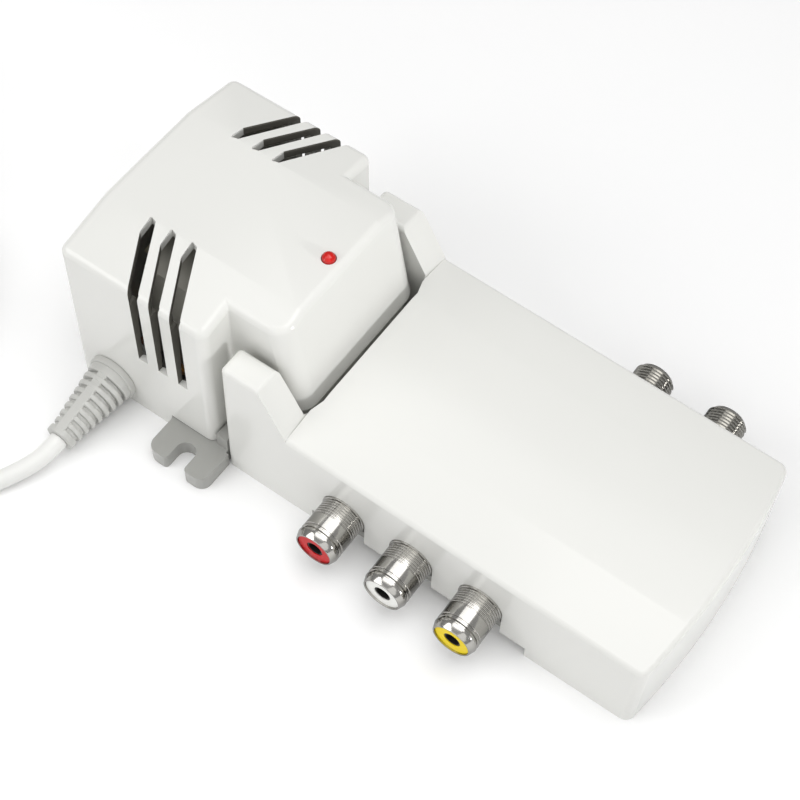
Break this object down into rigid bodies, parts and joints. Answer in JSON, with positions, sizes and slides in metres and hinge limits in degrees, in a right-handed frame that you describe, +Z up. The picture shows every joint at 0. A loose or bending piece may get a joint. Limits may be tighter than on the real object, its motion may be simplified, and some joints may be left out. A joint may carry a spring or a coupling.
{
  "type": "tv modulator",
  "caption": "Small indoor TV modulator: tall mains power hood with chevron vents, long low slab with phono and screw-on aerial sockets, slotted fixing ears and a mains lead.",
  "frame": {"origin": "centre of the underside of the case, halfway along its straight side", "axes": "+X along the case from the hood to the far end of the slab, +Z up from the underside, -Y towards the phono sockets and the mains lead"},
  "size_m": [0.2458, 0.1291, 0.0505],
  "materials": {
    "white_plastic": "glossy white moulded ABS",
    "cord_white": "soft white PVC",
    "pin_brass": "nickel-plated brass pins",
    "wire_brown": "insulated wire",
    "red_lens": "clear red epoxy lens",
    "red_plastic": "red moulded insert",
    "yellow_plastic": "yellow moulded insert",
    "insert_white": "white moulded insert",
    "nickel": "bright nickel plating",
    "tinned_metal": "tinned metal",
    "contact_brass": "brass contact",
    "tinned_sheet": "tinned steel sheet",
    "aluminium_can": "drawn aluminium",
    "capacitor_sleeve": "heat-shrunk sleeve",
    "board_green": "glass-fibre board",
    "board_tan": "paper-based board",
    "black_plastic": "black moulded plastic",
    "core_steel": "varnished laminations",
    "bobbin_nylon": "nylon",
    "winding_tape": "taped copper winding",
    "fuse_glass": "ceramic fuse in its clips",
    "zinc_screw": "zinc-plated screws",
    "adjuster_blue": "moulded adjuster case"
  },
  "bodies": {
    "housing": {"aerial_input_contact": "contact_brass", "aerial_input_insulator": "insert_white", "aerial_input_shell": "nickel", "aerial_output_contact": "contact_brass", "aerial_output_insulator": "insert_white", "aerial_output_shell": "nickel", "base_tray": "white_plastic", "board_capacitors": "capacitor_sleeve", "board_spacers": "tinned_metal", "channel_adjuster_body": "adjuster_blue", "coil_cans": "aluminium_can", "cover_screws": "zinc_screw", "dc_lead": "black_plastic", "dc_terminal": "insert_white", "feedthrough": "tinned_metal", "led_lamp": "red_lens", "led_leads": "tinned_metal", "led_spacer": "black_plastic", "level_adjuster_body": "adjuster_blue", "mains_conductors": "wire_brown", "mains_cord": "cord_white", "mains_cord_coil": "cord_white", "mains_fuse": "fuse_glass", "mains_inner_sheath": "cord_white", "mains_plug_body": "cord_white", "mains_plug_pins": "pin_brass", "mains_terminal": "bobbin_nylon", "modulator_board": "board_green", "modulator_chips": "black_plastic", "phono_red_contact": "tinned_metal", "phono_red_insert": "red_plastic", "phono_red_shell": "nickel", "phono_white_contact": "tinned_metal", "phono_white_insert": "insert_white", "phono_white_shell": "nickel", "phono_yellow_contact": "tinned_metal", "phono_yellow_insert": "yellow_plastic", "phono_yellow_shell": "nickel", "psu_board": "board_tan", "psu_board_screws": "zinc_screw", "psu_hood": "white_plastic", "rectifier_diodes": "black_plastic", "reference_crystal": "tinned_metal", "regulator_heatsink": "aluminium_can", "rf_can_box": "tinned_sheet", "rf_can_lid": "tinned_sheet", "screen_wall": "tinned_sheet", "slab_cover": "white_plastic", "smoothing_capacitors": "capacitor_sleeve", "strain_relief": "cord_white", "transformer_bobbin": "bobbin_nylon", "transformer_core": "core_steel", "transformer_winding": "winding_tape", "voltage_regulator": "black_plastic"},
    "channel_rotor": {"channel_adjuster_rotor": "insert_white"},
    "level_rotor": {"level_adjuster_rotor": "insert_white"}
  },
  "joints": [
    {"name": "channel_turn", "type": "hinge", "parent": "housing", "child": "channel_rotor", "pos_m": [0.00805, 0.024, 0.0132], "axis": [0, 1, 0], "range_deg": [-135, 135]},
    {"name": "level_turn", "type": "hinge", "parent": "housing", "child": "level_rotor", "pos_m": [0.02105, 0.024, 0.0132], "axis": [0, 1, 0], "range_deg": [-135, 135]}
  ]
}
